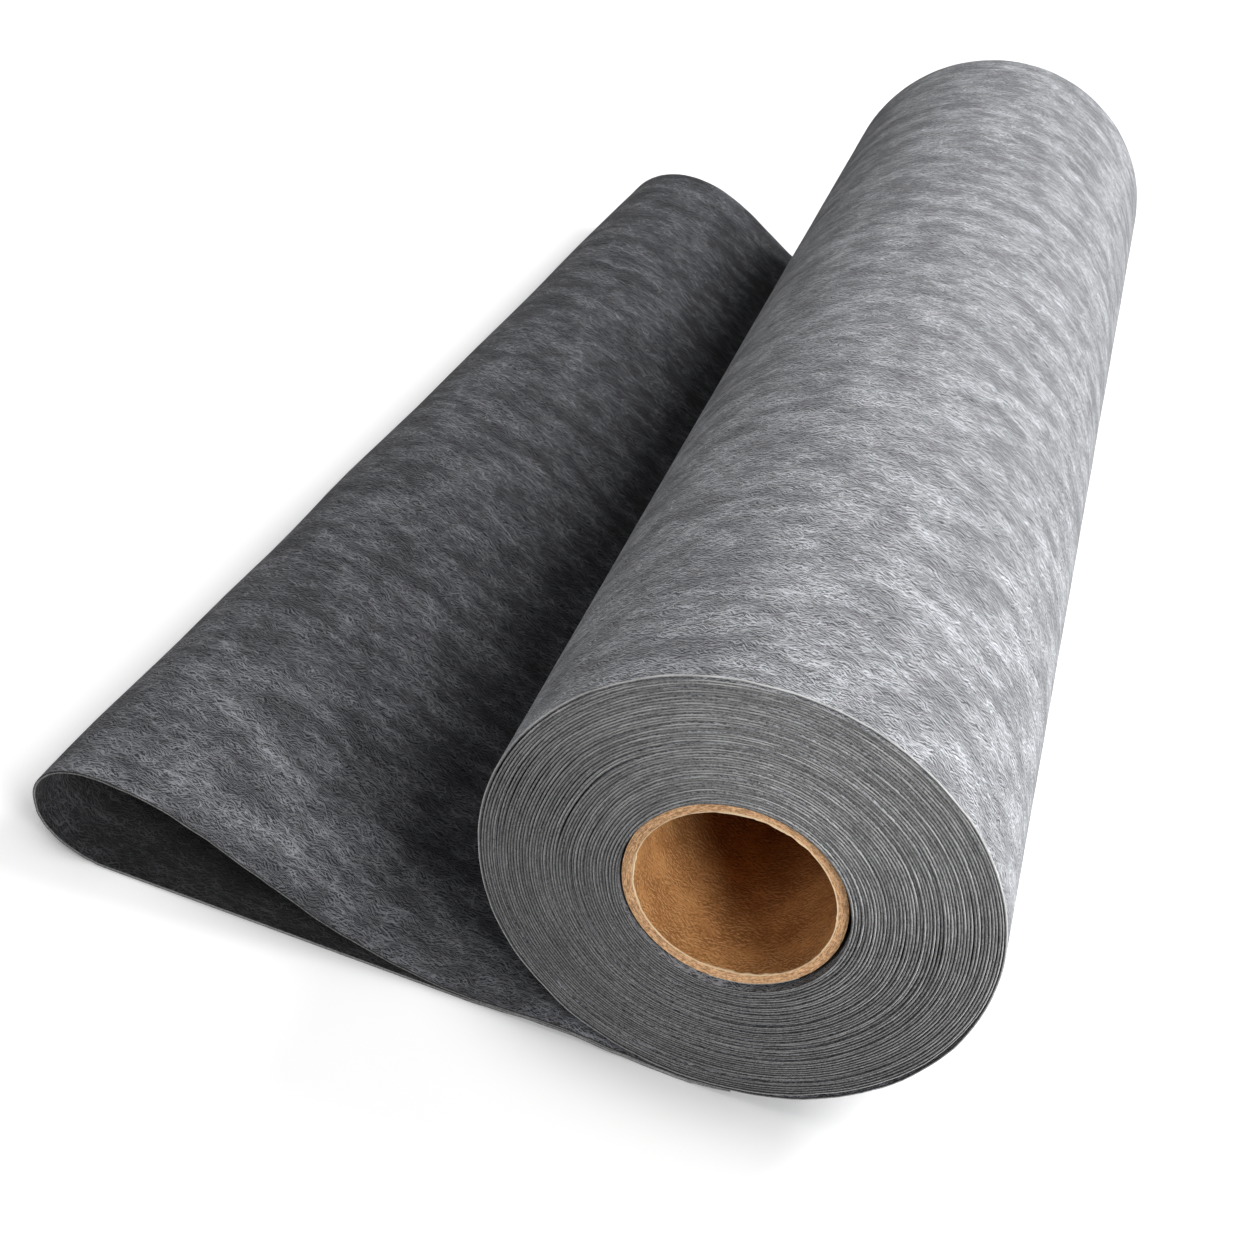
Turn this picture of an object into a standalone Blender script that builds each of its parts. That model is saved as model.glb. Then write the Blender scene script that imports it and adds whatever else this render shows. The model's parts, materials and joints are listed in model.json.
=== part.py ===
"""A roll of waterproof membrane on a paper core, with its loose end folded back on the floor.

Units are metres and +Z is up. The roll's axis runs along Y. X = 0 and Y = 0 lie under the
middle of the roll, and Z = 0 is the floor. The sheet leaves the roll at the bottom, runs
towards -X, rises over a soft fold and comes back along the floor, so that its free end is
held under the roll. The roll turns about its own axis inside the outermost turn.
"""

import math

import bmesh
import bpy
import numpy as np
from mathutils import Matrix

# The sheet and the roll
MEMBRANE_WIDTH = 1.000
SHEET_THICKNESS = 0.0015
ROLL_DIAMETER = 0.272

# The paper core, which stands back a little from both ends of the winding
CORE_BORE = 0.1048
CORE_WALL = 0.0059
CORE_RECESS = 0.004

# The double-sided tape that holds the first turn on the core
TAPE_THICKNESS = 0.00025
TAPE_WIDTH = 0.050

# Clearances: between pieces that touch, between turns that lie on each other, and the
# slack that lets the outermost turn stand off at the roll's lower right
SEAT_GAP = 0.0003
TURN_GAP = 0.0005
OUTER_TURN_SLACK = 0.0015

# The drawn turns. One drawn loop of the winding stands for two turns pressed together.
WOUND_LOOPS = 23
POINTS_PER_LOOP = 24
OUTER_TURN_POINTS = 48
CORE_SIDES = 72
TAPE_POINTS = 6

# The fold at the end nearest -Y. Each reach is measured from the roll's axis towards -X.
NEAR_LIFT_REACH = 0.110
NEAR_CREST_REACH = 0.350
NEAR_CREST_HEIGHT = 0.066
NEAR_NOSE_REACH = 0.387
NEAR_NOSE_HEIGHT = 0.036
NEAR_LANDING_REACH = 0.343

# The fold at the far end, where it stands higher and reaches less far
FAR_LIFT_REACH = 0.062
FAR_CREST_REACH = 0.280
FAR_CREST_HEIGHT = 0.080
FAR_NOSE_REACH = 0.338
FAR_NOSE_HEIGHT = 0.034
FAR_LANDING_REACH = 0.296

# The free end lies just past the line under the roll's axis. The roll presses both layers
# flat there, and beside it they stand a little off the floor, because the sheet still curls.
FREE_END_PAST_AXIS = 0.010
PRESSED_REACH = 0.012
CURL_REACH = 0.130
CURL_HEIGHT = 0.0032

# How far each curve of the fold keeps its first and last direction, as shares of its span
SLOPE_TOP_SHARE = 0.35
SLOPE_FOOT_SHARE = 0.50
NOSE_ROUND_SHARE = 0.56
CURL_STEPS = 12
SLOPE_STEPS = 16
NOSE_STEPS = 8
SHEET_ROWS = 5

# Measures that follow from the ones above
SHEET_PITCH = SHEET_THICKNESS + TURN_GAP
LOWER_LAYER_HEIGHT = SHEET_THICKNESS / 2
UPPER_LAYER_HEIGHT = LOWER_LAYER_HEIGHT + SHEET_PITCH
OUTER_TURN_RADIUS = (ROLL_DIAMETER - SHEET_THICKNESS) / 2
AXIS_HEIGHT = UPPER_LAYER_HEIGHT + OUTER_TURN_RADIUS
CORE_RADIUS = CORE_BORE / 2 + CORE_WALL
CORE_LENGTH = MEMBRANE_WIDTH - 2 * CORE_RECESS

# Between its corners a drawn turn lies a little nearer the axis than at them
LOOP_FLAT_SHARE = math.cos(math.pi / POINTS_PER_LOOP)
OUTER_FLAT_SHARE = math.cos(math.pi / OUTER_TURN_POINTS)
OUTER_PITCH = SHEET_THICKNESS + TURN_GAP / OUTER_FLAT_SHARE
WINDING_OUTSIDE = (
    (OUTER_TURN_RADIUS - OUTER_PITCH - SHEET_THICKNESS / 2) * OUTER_FLAT_SHARE - SEAT_GAP
)
WINDING_INSIDE = (CORE_RADIUS + TAPE_THICKNESS + 2 * SEAT_GAP) / LOOP_FLAT_SHARE
WINDING_ROOM = WINDING_OUTSIDE - WINDING_INSIDE
WINDING_PITCH = (WINDING_ROOM + TURN_GAP) / (WOUND_LOOPS + LOOP_FLAT_SHARE)
WINDING_STRIP = WINDING_PITCH * LOOP_FLAT_SHARE - TURN_GAP


def clear_scene():
    for thing in list(bpy.data.objects):
        bpy.data.objects.remove(thing, do_unlink=True)


def new_collection(name):
    collection = bpy.data.collections.new(name)
    bpy.context.scene.collection.children.link(collection)
    return collection


def matte_material(name, color, roughness):
    material = bpy.data.materials.new(name)
    material.use_nodes = True
    shader = material.node_tree.nodes["Principled BSDF"]
    shader.inputs["Base Color"].default_value = (*color, 1.0)
    shader.inputs["Roughness"].default_value = roughness
    shader.inputs["Metallic"].default_value = 0.0
    return material


def mix(near, far, share):
    return near + (far - near) * share


def bezier(start, leave, arrive, end, steps):
    """Points of a cubic curve after its start, up to and including its end."""
    points = []
    for step in range(1, steps + 1):
        t = step / steps
        weights = ((1 - t) ** 3, 3 * t * (1 - t) ** 2, 3 * t * t * (1 - t), t ** 3)
        points.append(
            tuple(
                sum(w * p[axis] for w, p in zip(weights, (start, leave, arrive, end)))
                for axis in range(2)
            )
        )
    return points


def turned(radius, turn):
    """The point at this radius, a given angle round from the bottom by way of the +X side."""
    return radius * math.sin(turn), -radius * math.cos(turn)


def outer_turn_path():
    """The outermost turn from its inner end, round the roll and down to the floor, as (x, z)."""
    path = []
    for step in range(OUTER_TURN_POINTS, -1, -1):
        share = step / OUTER_TURN_POINTS
        turn = 2 * math.pi * share
        slack = OUTER_TURN_SLACK * math.sin(2 * turn) ** 2 if turn < math.pi / 2 else 0.0
        x, z = turned(OUTER_TURN_RADIUS - OUTER_PITCH * share + slack, turn)
        path.append((x, AXIS_HEIGHT + z))
    return path


def curl_height(x):
    """How far both layers stand off the floor beside the roll, at this place."""
    share = (-x - PRESSED_REACH) / (CURL_REACH - PRESSED_REACH)
    return CURL_HEIGHT * math.sin(math.pi * share) ** 2 if 0 < share < 1 else 0.0


def fold_path(share):
    """The loose sheet after the roll's bottom, over the fold and back to its free end."""
    lift = (-mix(NEAR_LIFT_REACH, FAR_LIFT_REACH, share), UPPER_LAYER_HEIGHT)
    crest = (
        -mix(NEAR_CREST_REACH, FAR_CREST_REACH, share),
        mix(NEAR_CREST_HEIGHT, FAR_CREST_HEIGHT, share) - SHEET_THICKNESS / 2,
    )
    nose = (
        -mix(NEAR_NOSE_REACH, FAR_NOSE_REACH, share) + SHEET_THICKNESS / 2,
        mix(NEAR_NOSE_HEIGHT, FAR_NOSE_HEIGHT, share),
    )
    landing = (-mix(NEAR_LANDING_REACH, FAR_LANDING_REACH, share), LOWER_LAYER_HEIGHT)
    slope = lift[0] - crest[0]
    path = [
        (mix(-PRESSED_REACH, lift[0], step / CURL_STEPS), UPPER_LAYER_HEIGHT)
        for step in range(CURL_STEPS + 1)
    ]
    path += bezier(
        lift,
        (lift[0] - SLOPE_FOOT_SHARE * slope, lift[1]),
        (crest[0] + SLOPE_TOP_SHARE * slope, crest[1]),
        crest,
        SLOPE_STEPS,
    )
    path += bezier(
        crest,
        (mix(crest[0], nose[0], NOSE_ROUND_SHARE), crest[1]),
        (nose[0], mix(nose[1], crest[1], NOSE_ROUND_SHARE)),
        nose,
        NOSE_STEPS,
    )
    path += bezier(
        nose,
        (nose[0], mix(nose[1], landing[1], NOSE_ROUND_SHARE)),
        (mix(landing[0], nose[0], NOSE_ROUND_SHARE), landing[1]),
        landing,
        NOSE_STEPS,
    )
    path += [
        (mix(-CURL_REACH, -PRESSED_REACH, step / CURL_STEPS), LOWER_LAYER_HEIGHT)
        for step in range(CURL_STEPS + 1)
    ]
    path.append((FREE_END_PAST_AXIS, LOWER_LAYER_HEIGHT))
    return [(x, z + curl_height(x)) for x, z in path]


def winding_path():
    """The wound sheet as one spiral about the axis, from its outer end to its inner end."""
    first = WINDING_OUTSIDE - WINDING_STRIP / 2
    return [
        turned(
            first - WINDING_PITCH * step / POINTS_PER_LOOP,
            2 * math.pi * step / POINTS_PER_LOOP,
        )
        for step in range(WOUND_LOOPS * POINTS_PER_LOOP + 1)
    ]


def tape_path():
    """The tape's short arc on the outside of the core, under the inner end of the winding."""
    radius = CORE_RADIUS + SEAT_GAP + TAPE_THICKNESS / 2
    spread = TAPE_WIDTH / radius
    return [turned(radius, spread * step / TAPE_POINTS) for step in range(TAPE_POINTS + 1)]


def least_gap(path, thickness, points_per_turn):
    """The narrowest space that a sheet along this path leaves to itself, half a turn on."""
    points = np.array(path)
    starts, ends = points[:-1], points[1:]
    runs = ends - starts
    least = math.inf
    for index, point in enumerate(points):
        away = np.abs(np.arange(len(starts)) - index) > points_per_turn // 2
        if not away.any():
            continue
        along = ((point - starts) * runs).sum(1) / (runs * runs).sum(1)
        nearest = starts + np.clip(along, 0, 1)[:, None] * runs
        least = min(least, np.linalg.norm(point - nearest, axis=1)[away].min())
    return least - thickness


def sheet_between(name, rows, thickness, material, collection):
    """A sheet drawn out through rows of points, each (y, path), and thickened both ways."""
    mesh = bpy.data.meshes.new(name)
    shape = bmesh.new()
    y, path = rows[0]
    row = [shape.verts.new((x, y, z)) for x, z in path]
    edges = [shape.edges.new(pair) for pair in zip(row, row[1:])]
    for y, path in rows[1:]:
        grown = bmesh.ops.extrude_edge_only(shape, edges=edges)["geom"]
        fresh = {part for part in grown if isinstance(part, bmesh.types.BMVert)}
        row = [next(e.other_vert(v) for e in v.link_edges if e.other_vert(v) in fresh) for v in row]
        for vert, (x, z) in zip(row, path):
            vert.co = (x, y, z)
        edges = [shape.edges.get(pair) for pair in zip(row, row[1:])]
    bmesh.ops.recalc_face_normals(shape, faces=shape.faces)
    shape.to_mesh(mesh)
    shape.free()
    piece = bpy.data.objects.new(name, mesh)
    collection.objects.link(piece)
    solidify = piece.modifiers.new("thickness", "SOLIDIFY")
    solidify.thickness = thickness
    solidify.offset = 0.0
    solidify.use_even_offset = True
    mesh.shade_smooth()
    mesh.materials.append(material)
    return piece


def loose_end(collection):
    """The outermost turn, the fold and the free end, as one sheet of its real thickness."""
    turn = outer_turn_path()
    rows = []
    for row in range(SHEET_ROWS):
        share = row / (SHEET_ROWS - 1)
        rows.append((mix(-MEMBRANE_WIDTH / 2, MEMBRANE_WIDTH / 2, share), turn + fold_path(share)))
    material = matte_material("membrane_loose_end", (0.13, 0.13, 0.14), 0.9)
    return sheet_between("membrane_loose_end", rows, SHEET_THICKNESS, material, collection)


def straight_rows(path, length):
    return [(-length / 2, path), (length / 2, path)]


def winding(collection):
    material = matte_material("membrane_winding", (0.20, 0.20, 0.21), 0.95)
    rows = straight_rows(winding_path(), MEMBRANE_WIDTH)
    return sheet_between("membrane_winding", rows, WINDING_STRIP, material, collection)


def start_tape(collection):
    material = matte_material("start_tape", (0.75, 0.73, 0.66), 0.6)
    rows = straight_rows(tape_path(), CORE_LENGTH)
    return sheet_between("start_tape", rows, TAPE_THICKNESS, material, collection)


def core_tube(collection):
    """The paper tube: an open cylinder along Y, thickened inwards from its outside."""
    mesh = bpy.data.meshes.new("core_tube")
    shape = bmesh.new()
    bmesh.ops.create_cone(
        shape,
        cap_ends=False,
        segments=CORE_SIDES,
        radius1=CORE_RADIUS,
        radius2=CORE_RADIUS,
        depth=CORE_LENGTH,
        matrix=Matrix.Rotation(math.pi / 2, 4, "X"),
    )
    shape.to_mesh(mesh)
    shape.free()
    tube = bpy.data.objects.new("core_tube", mesh)
    collection.objects.link(tube)
    solidify = tube.modifiers.new("wall", "SOLIDIFY")
    solidify.thickness = CORE_WALL
    solidify.offset = -1.0
    solidify.use_even_offset = True
    mesh.shade_smooth()
    mesh.materials.append(matte_material("core_tube", (0.46, 0.27, 0.13), 0.85))
    return tube


def print_gaps():
    """The least gap of each wound form to itself, measured on its points."""
    turns = least_gap(winding_path(), WINDING_STRIP, POINTS_PER_LOOP)
    print(f"membrane_winding: {WOUND_LOOPS} loops, least gap to itself {turns * 1000:.2f} mm")
    for side, share in (("near", 0.0), ("far", 1.0)):
        path = outer_turn_path() + fold_path(share)
        gap = least_gap(path, SHEET_THICKNESS, OUTER_TURN_POINTS // 2)
        print(f"membrane_loose_end, {side} side: least gap to itself {gap * 1000:.2f} mm")


def main():
    clear_scene()
    parts = new_collection("membrane_roll")
    axis = bpy.data.objects.new("roll_axis", None)
    axis.location = (0.0, 0.0, AXIS_HEIGHT)
    parts.objects.link(axis)
    for piece in (winding(parts), core_tube(parts), start_tape(parts)):
        piece.parent = axis
    loose_end(parts)
    print_gaps()


main()
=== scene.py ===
# %% [markdown]
# # A roll of fleece-faced membrane
#
# The object is a roll of waterproof membrane, 1 m wide, on a brown paper core. Its loose end
# comes out under the roll, rises over a soft fold and is held under the roll again. The solids
# that carry it come ready made, at their real size. This script makes what the eye sees: one
# long sheet of felt that is really wound up, a paper tube that looks rolled from plies, and a
# finish for every face. All sizes are in metres, +Z is up and the roll lies along Y.
#
# The first step loads the solids, and gives a small function that reads the box of one solid.

# %% The frame and its box
import json
import math

import bpy
import numpy as np
from mathutils import Matrix, Vector


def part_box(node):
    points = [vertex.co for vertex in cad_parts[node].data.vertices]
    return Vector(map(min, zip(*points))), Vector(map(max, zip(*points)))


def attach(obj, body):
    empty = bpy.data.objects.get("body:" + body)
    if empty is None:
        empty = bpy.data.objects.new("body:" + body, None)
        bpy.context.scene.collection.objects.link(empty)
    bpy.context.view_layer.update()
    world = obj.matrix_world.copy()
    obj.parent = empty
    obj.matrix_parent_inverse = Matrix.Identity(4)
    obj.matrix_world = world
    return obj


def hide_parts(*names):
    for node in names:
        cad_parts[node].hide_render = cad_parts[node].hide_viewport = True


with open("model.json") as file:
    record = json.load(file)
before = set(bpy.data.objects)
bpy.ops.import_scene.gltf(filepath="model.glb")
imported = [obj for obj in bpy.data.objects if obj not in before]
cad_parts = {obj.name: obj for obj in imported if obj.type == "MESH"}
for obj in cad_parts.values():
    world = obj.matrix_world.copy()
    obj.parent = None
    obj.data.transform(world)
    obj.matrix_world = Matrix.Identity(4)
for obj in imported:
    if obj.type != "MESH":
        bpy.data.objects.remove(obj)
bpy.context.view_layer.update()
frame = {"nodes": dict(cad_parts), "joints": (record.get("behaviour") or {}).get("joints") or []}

print("pieces of the frame:", ", ".join(sorted(frame["nodes"])))

# %% [markdown]
# ## What is measured on the solids
#
# The roll turns about an axis that the frame gives. How far the winding and the core reach is
# read from the boxes of their solids, and not typed in again, so that the fine pieces made here
# stay where the solids are. The sheet's thickness and the core's wall are those of the real roll.

# %% The roll's sizes
AXIS_HEIGHT = frame["joints"][0]["pos_m"][2]
core_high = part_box("core_tube")[1]
winding_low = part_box("membrane_winding")[0]

HALF_WIDTH = 0.5
SHEET_THICKNESS = 0.0015
TURN_GAP = 0.0005
WINDING_RADIUS = AXIS_HEIGHT - winding_low.z
CORE_RADIUS = core_high.x
CORE_WALL = 0.0059
CORE_HALF_LENGTH = core_high.y
print(f"axis {AXIS_HEIGHT:.4f} high, winding {WINDING_RADIUS:.4f}, core {CORE_RADIUS:.4f}")

# %% [markdown]
# ## The camera
#
# The photographer stood at the near end, a little above the roll, and looked down along it. A
# camera can be placed by eye, but then the outlines never quite fit. Here place and direction
# come from the perspective of the picture: both ends of the roll are circles of one size, so
# their outlines say how far away each of them is.

# %% The camera
CAMERA_PLACE = (0.02260, -1.15061, 0.76104)
CAMERA_RIGHT = Vector((0.94020, 0.28732, 0.18293))
CAMERA_FORWARD = Vector((-0.12824, 0.79615, -0.59135))
CAMERA_LENS = 51.53
SENSOR_WIDTH = 36.0


def put_in_scene(name, data):
    """A new object that holds this camera, mesh or lamp, linked to the scene."""
    thing = bpy.data.objects.new(name, data)
    bpy.context.scene.collection.objects.link(thing)
    return thing


def make_camera():
    """A camera that looks along CAMERA_FORWARD, with CAMERA_RIGHT to the picture's right."""
    data = bpy.data.cameras.new("camera")
    data.lens = CAMERA_LENS
    data.sensor_width = SENSOR_WIDTH
    camera = put_in_scene("camera", data)
    back = -CAMERA_FORWARD.normalized()
    right = (CAMERA_RIGHT - CAMERA_RIGHT.dot(back) * back).normalized()
    turn = Matrix((right, back.cross(right), back)).transposed().to_4x4()
    camera.matrix_world = Matrix.Translation(CAMERA_PLACE) @ turn
    bpy.context.scene.camera = camera
    return camera


print("lens of the camera:", make_camera().data.lens, "mm")

# %% [markdown]
# ## Uneven, but the same every time
#
# Felt is never quite flat and no cut is quite straight. A Displace modifier could roughen a
# finished mesh, but here the same unevenness also moves edges and the air between the turns. So
# it is a plain function: a sum of a few waves with chosen lengths and chance phases. The chance
# comes from a seed, so each run makes the same roll.

# %% Soft unevenness
PEAK_TO_SPREAD = 1.6


def soft_waves(seed, longest, shortest, count=9):
    """A function of one or two lengths, about -1 to 1, that changes smoothly.

    It adds up count waves, from the longest to the shortest, and seed chooses their phases.
    """
    dice = np.random.default_rng(seed)
    lengths = np.geomspace(longest, shortest, count)
    angles = dice.uniform(0, 2 * math.pi, count)
    phases = dice.uniform(0, 2 * math.pi, count)
    shares = (lengths / longest) ** 0.5
    shares /= np.sqrt((shares ** 2).sum() / 2) * PEAK_TO_SPREAD

    def height(a, b=None):
        total = 0.0
        for length, angle, phase, share in zip(lengths, angles, phases, shares):
            along = a if b is None else a * math.cos(angle) + b * math.sin(angle)
            total = total + share * np.sin(2 * math.pi * along / length + phase)
        return total

    return height


sample = soft_waves(1, 0.2, 0.02)(np.linspace(0, 1, 500))
print(f"waves run from {sample.min():.2f} to {sample.max():.2f}")

# %% [markdown]
# ## The line that the sheet follows
#
# Seen from the end, the sheet is a line. It comes round the roll once, leaves it at the bottom,
# lies on the floor, rises to the crest of the fold, goes round the nose and comes back to the
# floor. A cloth simulation could look for that line, but so stiff a sheet bends in wide curves,
# and drawn curves pass through the points that were measured. The fold differs from end to end:
# near the camera it is low and reaches far, and at the far end it is higher and shorter. So each
# of its points is mixed between a near and a far value, and cubic curves run between them.

# %% The fold's sizes, near end and far end
LIFT_REACH = (0.110, 0.062)
CREST_REACH = (0.350, 0.280)
CREST_HEIGHT = (0.066, 0.080)
NOSE_REACH = (0.387, 0.338)
NOSE_HEIGHT = (0.036, 0.034)
LANDING_REACH = (0.343, 0.296)
FREE_END_PAST_AXIS = 0.030
PRESSED_REACH = 0.012
CURL_REACH = 0.130
CURL_HEIGHT = 0.0032
SLOPE_TOP_SHARE = 0.35
SLOPE_FOOT_SHARE = 0.50
NOSE_ROUND_SHARE = 0.56

LOWER_LAYER_HEIGHT = SHEET_THICKNESS / 2
UPPER_LAYER_HEIGHT = LOWER_LAYER_HEIGHT + SHEET_THICKNESS + TURN_GAP
OUTER_TURN_RADIUS = AXIS_HEIGHT - UPPER_LAYER_HEIGHT
OUTER_PITCH = SHEET_THICKNESS + TURN_GAP
OUTER_TURN_SLACK = 0.0015
print(f"radius of the outermost turn: {OUTER_TURN_RADIUS:.5f}")

# %% Tools for drawing a line


def turned(radius, turn):
    """The point at this radius, a given angle round from the bottom by way of the +X side."""
    return radius * math.sin(turn), -radius * math.cos(turn)


def smooth(share):
    """0 to 1 with a soft start and a soft end."""
    share = np.clip(share, 0, 1)
    return share * share * (3 - 2 * share)


def early(share):
    """From 0 to 1, most of the way in the first half."""
    return 1 - (1 - share) ** 2


def bezier(start, leave, arrive, end, steps):
    """Points of a cubic curve after its start, up to and including its end."""
    t = np.arange(1, steps + 1)[:, None] / steps
    points = [np.array(point) for point in (start, leave, arrive, end)]
    weights = ((1 - t) ** 3, 3 * t * (1 - t) ** 2, 3 * t * t * (1 - t), t ** 3)
    return [tuple(p) for p in sum(w * p for w, p in zip(weights, points))]


def lengths_along(line):
    """How far along the line each of its points lies."""
    steps = np.linalg.norm(np.diff(line, axis=0), axis=1)
    return np.concatenate([[0.0], np.cumsum(steps)])


quarter = [turned(1.0, turn) for turn in np.linspace(0, math.pi / 2, 50)]
print("a quarter of a circle with radius 1 measures", round(lengths_along(quarter)[-1], 3))

# %% The line round the roll
TURN_STEPS = 132
TURNS_SHOWN = 1.45
INNER_FALL = 0.00045
INNER_FALL_TURNS = 0.2


def outer_turn_line():
    """Round the roll from the sheet's inner end down to the floor, as (x, z) from the floor."""
    line = []
    for step in range(round(TURN_STEPS * TURNS_SHOWN), -1, -1):
        share = step / TURN_STEPS
        turn = 2 * math.pi * share
        slack = OUTER_TURN_SLACK * math.sin(2 * turn) ** 2 if turn < math.pi / 2 else 0.0
        fall = OUTER_PITCH * early(min(share, 1))
        fall += INNER_FALL * smooth((share - 1) / INNER_FALL_TURNS)
        x, z = turned(OUTER_TURN_RADIUS - fall + slack, turn)
        line.append((x, AXIS_HEIGHT + z))
    return line


print("points round the roll:", len(outer_turn_line()))

# %% The line over the fold
FLOOR_STEPS = 14
FREE_STEPS = 8
SLOPE_STEPS = 44
NOSE_STEPS = 20


def curl_height(x):
    """How far both layers stand off the floor beside the roll."""
    share = (-x - PRESSED_REACH) / (CURL_REACH - PRESSED_REACH)
    return CURL_HEIGHT * math.sin(math.pi * share) ** 2 if 0 < share < 1 else 0.0


def under_roll(x):
    """How far the roll's underside has risen at x; the free end clings to it."""
    radius = OUTER_TURN_RADIUS + SHEET_THICKNESS / 2
    return radius - math.sqrt(radius ** 2 - x ** 2)


def fold_line(share):
    """From the roll's bottom over the fold to the free end; share is 0 near, 1 far."""
    def mixed(pair):
        return pair[0] + (pair[1] - pair[0]) * share

    lift = (-mixed(LIFT_REACH), UPPER_LAYER_HEIGHT)
    crest = (-mixed(CREST_REACH), mixed(CREST_HEIGHT) - SHEET_THICKNESS / 2)
    nose = (-mixed(NOSE_REACH) + SHEET_THICKNESS / 2, mixed(NOSE_HEIGHT))
    landing = (-mixed(LANDING_REACH), LOWER_LAYER_HEIGHT)
    slope = lift[0] - crest[0]
    over = NOSE_ROUND_SHARE
    line = [(x, UPPER_LAYER_HEIGHT) for x in np.linspace(-PRESSED_REACH, lift[0], FLOOR_STEPS)]
    line += bezier(lift, (lift[0] - SLOPE_FOOT_SHARE * slope, lift[1]),
                   (crest[0] + SLOPE_TOP_SHARE * slope, crest[1]), crest, SLOPE_STEPS)
    line += bezier(crest, (crest[0] + (nose[0] - crest[0]) * over, crest[1]),
                   (nose[0], nose[1] + (crest[1] - nose[1]) * over), nose, NOSE_STEPS)
    line += bezier(nose, (nose[0], nose[1] + (landing[1] - nose[1]) * over),
                   (landing[0] + (nose[0] - landing[0]) * over, landing[1]), landing, NOSE_STEPS)
    line += [(x, LOWER_LAYER_HEIGHT)
             for x in np.linspace(-CURL_REACH, 0.0, FLOOR_STEPS)]
    line += [(x, LOWER_LAYER_HEIGHT + under_roll(x))
             for x in np.linspace(0.0, FREE_END_PAST_AXIS, FREE_STEPS + 1)[1:]]
    return [(x, z + curl_height(x)) for x, z in line]


near_line = np.array(outer_turn_line() + fold_line(0.0))

# %% [markdown]
# ## A sheet with real edges
#
# A sheet of felt is 1.5 mm thick, and its cut edges are what the end of the roll shows. A plane
# with a Solidify modifier would have sharp edges and no map of how deep they are. So the sheet is
# a closed ring of points across the width, outer face, edge, inner face, edge, carried along the
# line. Two maps go with it. One lays the sheet out flat in metres, for the fibres. The other
# tells how deep in the thickness a point lies, for the cut edge.

# %% The ring across the sheet
RIM_ROUND = 0.0005
WOUND_ROUND = 0.00026
EDGE_FACE_SHARE = 0.30
# Each surface by the number of the material that it will wear; the outer face inside the fold wears
# painted shade
OUTER_FACE, INNER_FACE, CUT_EDGE, INSIDE_FOLD_SHADE = 0, 1, 2, 3


def half_ring(rows, edge_round):
    """Across the outer face from the near edge to the far one: (y, share of the thickness)."""
    inner = [(-HALF_WIDTH, EDGE_FACE_SHARE), (-HALF_WIDTH + edge_round, 0.5)]
    inner += [(y, 0.5) for y in rows]
    return inner + [(HALF_WIDTH - edge_round, 0.5), (HALF_WIDTH, EDGE_FACE_SHARE)]


def strip_kind(strip, half):
    """Which surface the faces between ring points strip and strip + 1 belong to."""
    if strip in (0, half - 2, half - 1, half, 2 * half - 2, 2 * half - 1):
        return CUT_EDGE
    return OUTER_FACE if strip < half else INNER_FACE


print("half of the plainest ring:", half_ring([], RIM_ROUND))
print("surfaces once round it:", [strip_kind(strip, 4) for strip in range(8)])

# %% The ring carried along a line
EDGE_SHIFT_REACH = 0.006


def directions(line):
    """The side on which the outer face lies, at each point of a line of (x, z)."""
    along = np.gradient(line, axis=0)
    along /= np.linalg.norm(along, axis=1)[:, None]
    return np.stack([-along[:, 1], along[:, 0]], axis=1)


def loft_sheet(name, ring_half, thickness, line_at, edge_shift, lift, dark_from=None):
    """A closed sheet of felt carried along line_at(y), which gives points (x, z).

    ring_half is the outer half of the ring across it. edge_shift(side, length) moves the cut edges
    along Y, lift(length, y, line) moves the whole thickness off the line, and the sheet thins out
    where thickness says so. From the point dark_from of the line on, the outer face lies inside the
    fold and wears painted shade.
    """
    ring = ring_half + [(y, -share) for y, share in reversed(ring_half)]
    places, flat, depth = [], [], []
    for y, share in ring:
        line = np.array(line_at(y))
        length = lengths_along(line)
        out = directions(line)
        off = share * thickness(length) + lift(length, y, line)
        edge = max(0.0, 1 - (HALF_WIDTH - abs(y)) / EDGE_SHIFT_REACH)
        side = 1 if y > 0 else -1
        shifted = y + edge * edge_shift(side, length)
        x = line[:, 0] + out[:, 0] * off
        z = line[:, 1] + out[:, 1] * off
        places.append(np.stack([x, shifted, z], axis=1))
        flat.append(np.stack([length, shifted], axis=1))
        depth.append(np.stack([length, np.full_like(length, 0.5 - share)], axis=1))
    kinds = np.array([strip_kind(strip, len(ring_half)) for strip in range(len(ring))])
    kinds = np.repeat(kinds[:, None], len(length) - 1, axis=1)
    if dark_from is not None:
        kinds[:, dark_from:][kinds[:, dark_from:] == OUTER_FACE] = INSIDE_FOLD_SHADE
    return build_ring_mesh(name, np.array(places), np.array(flat), np.array(depth), kinds)


floorwards = directions(np.array([(0.0, 0.0), (-1.0, 0.0)]))[0]
print("on the floor, on its way towards -X, the sheet's outer face looks along", floorwards)

# %% The points joined into a mesh
MAP_NAMES = ("flat", "depth")


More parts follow.
